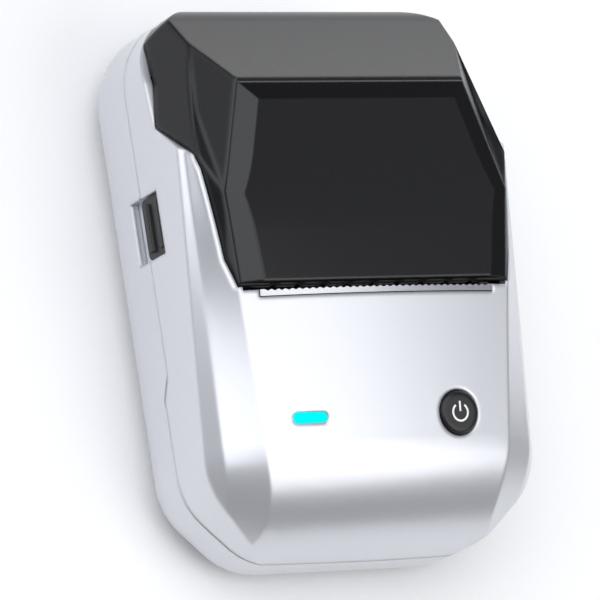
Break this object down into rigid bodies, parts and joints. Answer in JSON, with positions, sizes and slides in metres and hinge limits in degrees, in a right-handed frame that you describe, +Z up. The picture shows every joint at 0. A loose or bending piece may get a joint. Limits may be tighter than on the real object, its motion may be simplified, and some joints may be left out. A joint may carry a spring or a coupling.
{
  "type": "portable label printer",
  "caption": "Pocket thermal label printer with a hinged faceted lid, label slot with tear bar, round power button, side latch, platen drive and sliding roll guides.",
  "frame": {"origin": "resting plane under the middle of the case, printer lying on its back", "axes": "+X to the printer's right, +Y towards the hinge end, +Z up, out of the front face"},
  "size_m": [0.08, 0.1186, 0.0459],
  "materials": {
    "pearl_white_plastic": "satin gloss pearl",
    "black_satin_plastic": "satin",
    "black_gloss_plastic": "polished",
    "black_matte_plastic": "matte",
    "grey_matte_plastic": "matte",
    "white_gear_plastic": "matte",
    "cyan_light": "clear, lit",
    "led_package": "clear",
    "bright_steel": "bright",
    "black_steel": "blackened",
    "motor_steel": "plated",
    "brass": "turned",
    "black_rubber": "ground",
    "head_ceramic": "glazed line",
    "aluminium": "plain",
    "board_green": "solder mask",
    "battery_film": "film"
  },
  "bodies": {
    "case": {"back_shell": "pearl_white_plastic", "front_shell": "pearl_white_plastic", "latch_guide": "pearl_white_plastic", "mechanism_frame": "black_matte_plastic", "roll_tray": "black_matte_plastic", "tact_switch": "black_matte_plastic", "paper_sensor": "black_matte_plastic", "status_light_pipe": "cyan_light", "status_led": "led_package", "tear_bar": "bright_steel", "hinge_pin": "bright_steel", "idler_pin": "bright_steel", "latch_spring": "bright_steel", "usb_socket": "bright_steel", "case_screws": "black_steel", "board_screws": "black_steel", "stepper_motor": "motor_steel", "rubber_feet": "black_rubber", "print_head": "head_ceramic", "head_heatsink": "aluminium", "wireless_module": "aluminium", "main_board": "board_green", "charge_board": "board_green", "battery_pack": "battery_film"},
    "lid": {"lid_shell": "black_satin_plastic", "lid_panel": "black_gloss_plastic", "lid_liner": "black_matte_plastic", "lid_screws": "black_steel", "platen_bushes": "brass"},
    "platen": {"platen_roller": "black_rubber", "platen_shaft": "bright_steel", "platen_gear": "white_gear_plastic"},
    "idler": {"idler_gear": "white_gear_plastic"},
    "motor_rotor": {"motor_shaft": "bright_steel", "motor_pinion": "brass"},
    "latch": {"latch_slider": "black_satin_plastic"},
    "button": {"power_button": "black_satin_plastic"},
    "left_guide": {"left_roll_guide": "grey_matte_plastic"},
    "right_guide": {"right_roll_guide": "grey_matte_plastic"},
    "guide_gear": {"guide_pinion": "white_gear_plastic"}
  },
  "joints": [
    {"name": "lid_hinge", "type": "hinge", "parent": "case", "child": "lid", "pos_m": [0, 0.0562, 0.0226], "axis": [-1, 0, 0], "range_deg": [0, 85]},
    {"name": "latch_slide", "type": "slide", "parent": "case", "child": "latch", "axis": [0, 0, -1], "range_m": [0, 0.003], "stiffness_N_per_m": 400, "deforming": ["latch_spring"]},
    {"name": "button_press", "type": "slide", "parent": "case", "child": "button", "axis": [0, 0.1513, -0.9885], "range_m": [0, 0.0006], "stiffness_N_per_m": 800},
    {"name": "platen_spin", "type": "hinge", "parent": "lid", "child": "platen", "pos_m": [0, -0.0003, 0.0314], "axis": [1, 0, 0], "continuous": true},
    {"name": "idler_spin", "type": "hinge", "parent": "case", "child": "idler", "pos_m": [0, -0.00338, 0.01558], "axis": [1, 0, 0], "continuous": true},
    {"name": "motor_spin", "type": "hinge", "parent": "case", "child": "motor_rotor", "pos_m": [0, -0.01664, 0.01075], "axis": [1, 0, 0], "continuous": true},
    {"name": "left_guide_slide", "type": "slide", "parent": "case", "child": "left_guide", "axis": [1, 0, 0], "range_m": [0, 0.012]},
    {"name": "right_guide_slide", "type": "slide", "parent": "case", "child": "right_guide", "axis": [-1, 0, 0], "range_m": [0, 0.012]},
    {"name": "guide_pinion_spin", "type": "hinge", "parent": "case", "child": "guide_gear", "pos_m": [0, 0.0079, 0.0165], "axis": [0, 1, 0], "range_deg": [0, 172]}
  ],
  "couplings": [
    {"joint": "idler_spin", "follows": "platen_spin", "ratio": -0.6},
    {"joint": "motor_spin", "follows": "platen_spin", "ratio": 1.5},
    {"joint": "right_guide_slide", "follows": "left_guide_slide", "ratio": 1},
    {"joint": "guide_pinion_spin", "follows": "left_guide_slide", "rad_per_m": 250}
  ]
}
